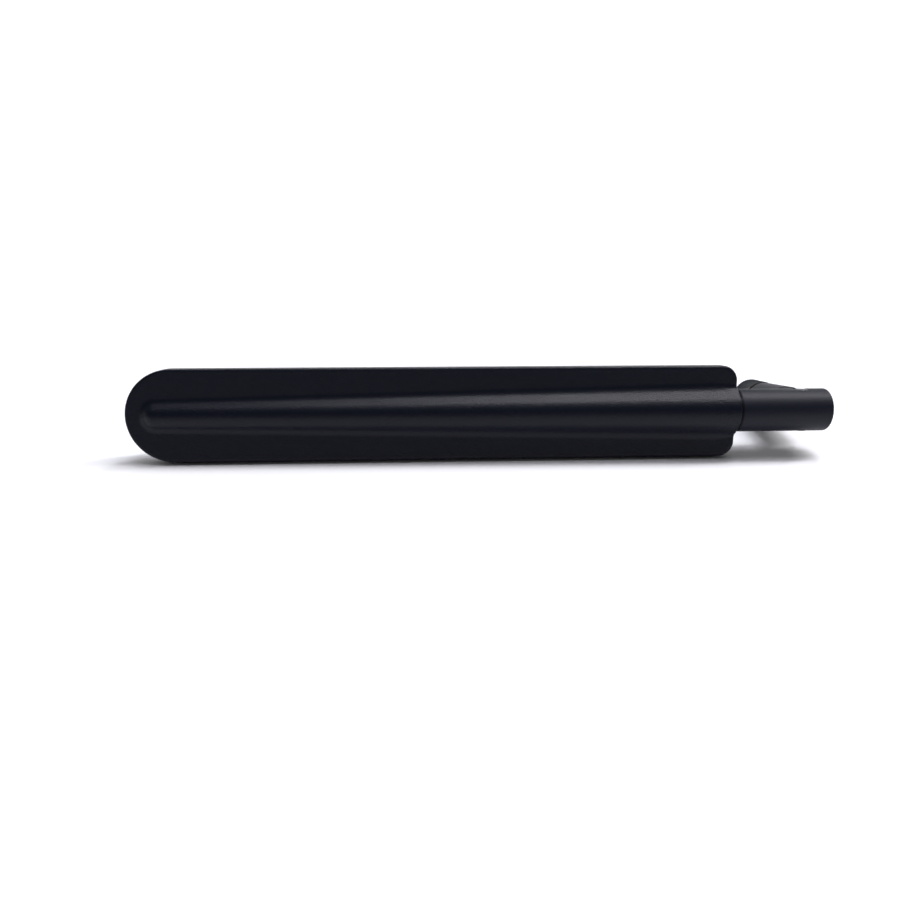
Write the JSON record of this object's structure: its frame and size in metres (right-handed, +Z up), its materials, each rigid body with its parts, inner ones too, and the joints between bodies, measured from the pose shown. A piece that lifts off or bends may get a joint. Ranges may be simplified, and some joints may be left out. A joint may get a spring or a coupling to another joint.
{
  "type": "omnidirectional antenna",
  "caption": "Flat paddle antenna with a tapering rib on each face, a slotted hinge barrel and a folding elbow with a swivelling screw connector.",
  "frame": {"origin": "on the surface that it stands on, under the middle of its box", "axes": "+X along the blade from its tip to its hinge, +Y to the rear where the folded connector points, +Z up; it leans back on the lower edge of its blade and on its nut"},
  "size_m": [0.1714, 0.0356, 0.0226],
  "materials": {
    "shell_plastic": "fine moulded grain, satin black",
    "hinge_plastic": "moulded, satin blue-black",
    "hinge_pin": "moulded, dark",
    "board_laminate": "glass laminate with solder mask",
    "copper": "etched copper",
    "solder": "solidified solder",
    "cable_jacket": "extruded jacket",
    "plated_brass": "turned and gold plated",
    "spring_metal": "drawn spring metal",
    "white_insulator": "turned fluoropolymer",
    "soft_gasket": "moulded soft rubber",
    "nut_metal": "turned, knurled and dark plated"
  },
  "bodies": {
    "antenna_blade": {"front_shell": "shell_plastic", "rear_shell": "shell_plastic", "antenna_board": "board_laminate", "upper_radiator": "copper", "lower_radiator": "copper", "feed_solder": "solder", "coax_feed": "cable_jacket", "hinge_barrel": "hinge_plastic", "pivot_pins": "hinge_pin"},
    "elbow": {"elbow_body": "hinge_plastic", "coax_bend": "cable_jacket"},
    "connector": {"connector_body": "plated_brass", "coax_tail": "cable_jacket", "crimp_ferrule": "spring_metal", "swivel_ring": "spring_metal", "insulator": "white_insulator", "center_pin": "plated_brass", "nut_ring": "spring_metal", "gasket": "soft_gasket"},
    "nut": {"coupling_nut": "nut_metal"}
  },
  "joints": [
    {"name": "fold", "type": "hinge", "parent": "antenna_blade", "child": "elbow", "pos_m": [0.0795, -0.01181, 0.01129], "axis": [0, -0.2225, -0.9749], "range_deg": [0, 90], "deforming": ["coax_bend"]},
    {"name": "swivel", "type": "hinge", "parent": "elbow", "child": "connector", "pos_m": [0.0795, 0.00886, 0.00657], "axis": [0, 0.9749, -0.2225], "range_deg": [-180, 180]},
    {"name": "nut_spin", "type": "hinge", "parent": "connector", "child": "nut", "pos_m": [0.0795, 0.01257, 0.00573], "axis": [0, 0.9749, -0.2225], "continuous": true}
  ]
}
